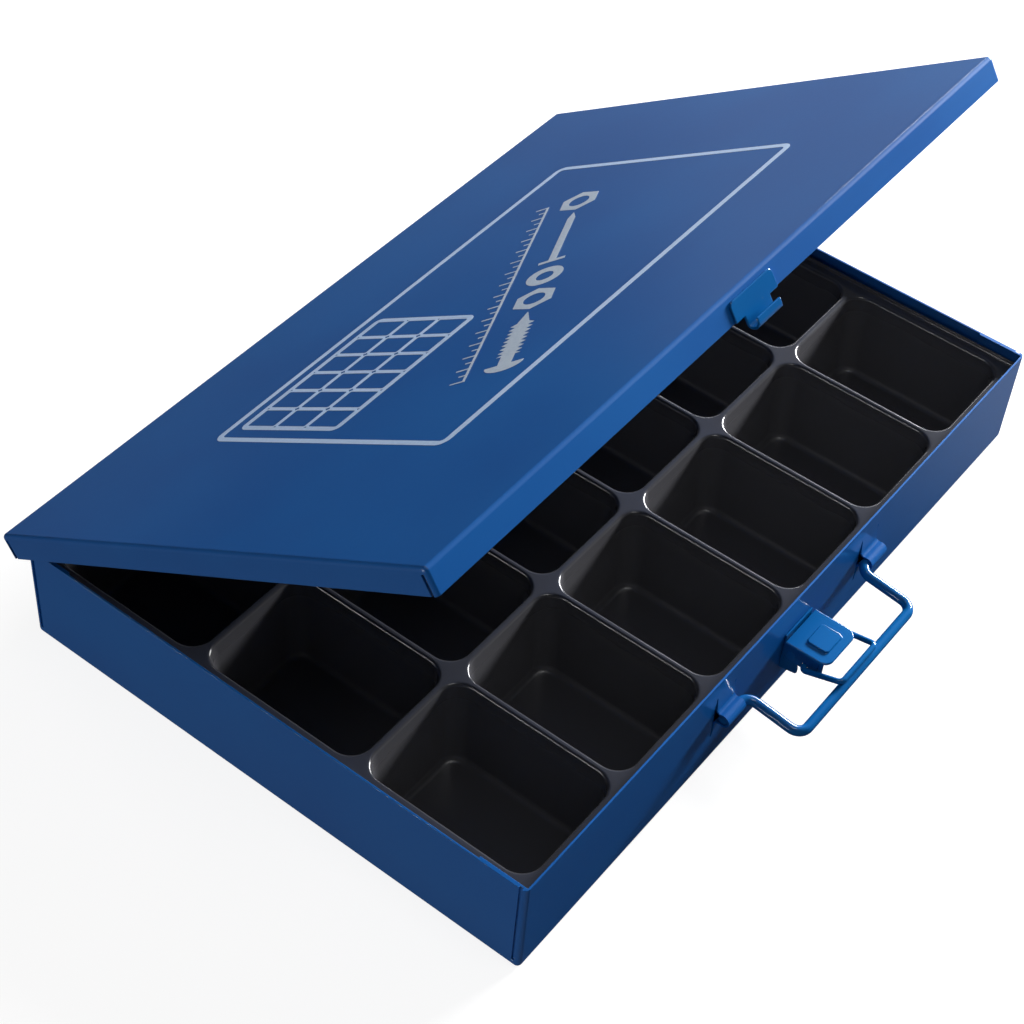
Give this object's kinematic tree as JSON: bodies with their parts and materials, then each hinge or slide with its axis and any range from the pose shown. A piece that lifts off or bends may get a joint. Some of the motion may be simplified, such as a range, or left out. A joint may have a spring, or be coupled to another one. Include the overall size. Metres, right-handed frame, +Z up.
{
  "type": "compartment organizer box",
  "caption": "Flat steel organizer box with a hinged lid, wire carry handle, over-centre loop latch and a moulded tray of pockets for small parts.",
  "frame": {"origin": "centre of the base pan's underside, on the surface the box stands on", "axes": "+X to the right along the front, +Y towards the hinges at the back, +Z up"},
  "size_m": [0.3328, 0.2655, 0.1687],
  "materials": {
    "blue_enamel": "semi-gloss enamel, lightly orange-peeled",
    "latch_enamel": "semi-gloss enamel on the handle and latch",
    "tray_black": "satin black thermoformed sheet",
    "hinge_pin_steel": "plain bright steel"
  },
  "bodies": {
    "base": {"base_pan": "blue_enamel", "insert_tray": "tray_black", "latch_bracket": "latch_enamel", "latch_pivot_pin": "latch_enamel", "hinge_base_leaf_left": "blue_enamel", "hinge_base_leaf_right": "blue_enamel", "hinge_pin_left": "hinge_pin_steel", "hinge_pin_right": "hinge_pin_steel"},
    "lid": {"lid_pan": "blue_enamel", "lid_hook_plate": "latch_enamel", "hinge_lid_leaf_left": "blue_enamel", "hinge_lid_leaf_right": "blue_enamel"},
    "handle": {"carry_handle": "latch_enamel"},
    "lever": {"latch_lever": "latch_enamel"},
    "loop": {"latch_loop": "latch_enamel"}
  },
  "joints": [
    {"name": "lid_hinge", "type": "hinge", "parent": "base", "child": "lid", "pos_m": [0, 0.1155, 0.0285], "axis": [-1, 0, 0], "range_deg": [-33.1, 146.9]},
    {"name": "handle_swing", "type": "hinge", "parent": "base", "child": "handle", "pos_m": [0, -0.1157, 0.0267], "axis": [-1, 0, 0], "range_deg": [-83, 0]},
    {"name": "latch_lever_swing", "type": "hinge", "parent": "base", "child": "lever", "pos_m": [0, -0.1171, 0.0235], "axis": [-1, 0, 0], "range_deg": [-90, 0]},
    {"name": "latch_loop_swing", "type": "hinge", "parent": "lever", "child": "loop", "pos_m": [0, -0.1231, 0.0223], "axis": [-1, 0, 0], "range_deg": [0, 162.3]}
  ],
  "couplings": [
    {"joint": "latch_loop_swing", "follows": "latch_lever_swing", "ratio": -1.8028}
  ]
}
